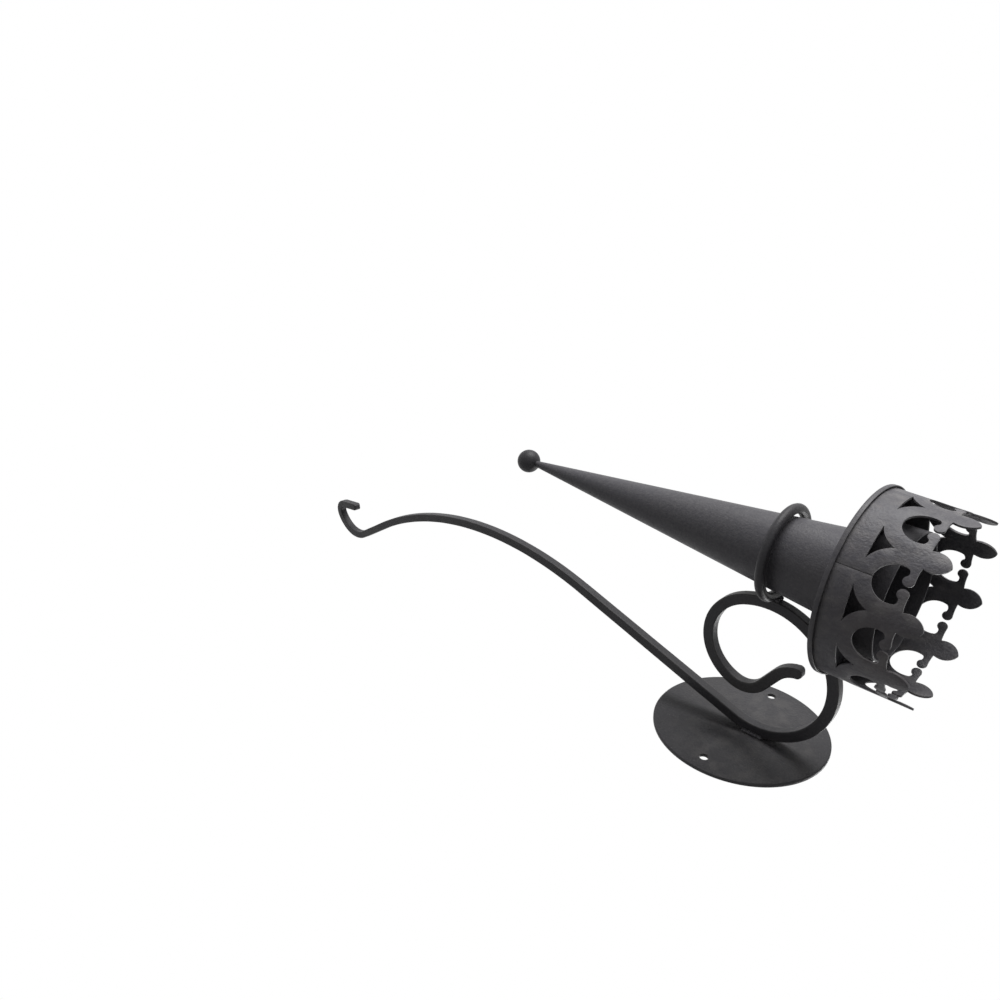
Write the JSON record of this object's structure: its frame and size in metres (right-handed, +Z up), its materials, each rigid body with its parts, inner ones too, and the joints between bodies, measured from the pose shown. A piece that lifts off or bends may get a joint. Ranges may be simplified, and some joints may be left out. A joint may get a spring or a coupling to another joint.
{
  "type": "torch wall sconce",
  "caption": "Wall sconce of forged square bar: a round screw plate, a scroll arm with loop and hook, and a sheet metal torch with a pierced coronet that lifts out of its ring.",
  "frame": {"origin": "centre of the wall plate's back face, on the wall", "axes": "+Z up, +Y into the wall, so the sconce stands out towards -Y; X is sideways and the scroll arm lies in the plane X = 0"},
  "size_m": [0.127, 0.2076, 0.6614],
  "materials": {
    "plate_paint": "satin black paint on steel plate",
    "bar_paint": "satin black paint on forged bar",
    "sheet_paint": "satin black paint on rolled sheet",
    "coronet_paint": "satin black paint on pierced sheet, faint brown cast",
    "weld_paint": "satin black paint over weld bead"
  },
  "bodies": {
    "bracket": {"wall_plate": "plate_paint", "scroll_arm": "bar_paint", "arm_weld": "weld_paint", "torch_ring": "bar_paint", "ring_weld": "weld_paint"},
    "torch": {"torch_cone": "sheet_paint", "ball_finial": "bar_paint", "drip_pan": "sheet_paint", "cone_weld": "weld_paint", "candle_cup": "sheet_paint", "cup_tacks": "weld_paint", "coronet": "coronet_paint", "coronet_tacks": "weld_paint", "coronet_seam_weld": "weld_paint"}
  },
  "joints": [
    {"name": "torch_lift", "type": "slide", "parent": "bracket", "child": "torch", "axis": [0, 0.0628, 0.998], "range_m": [0, 0.26]}
  ]
}
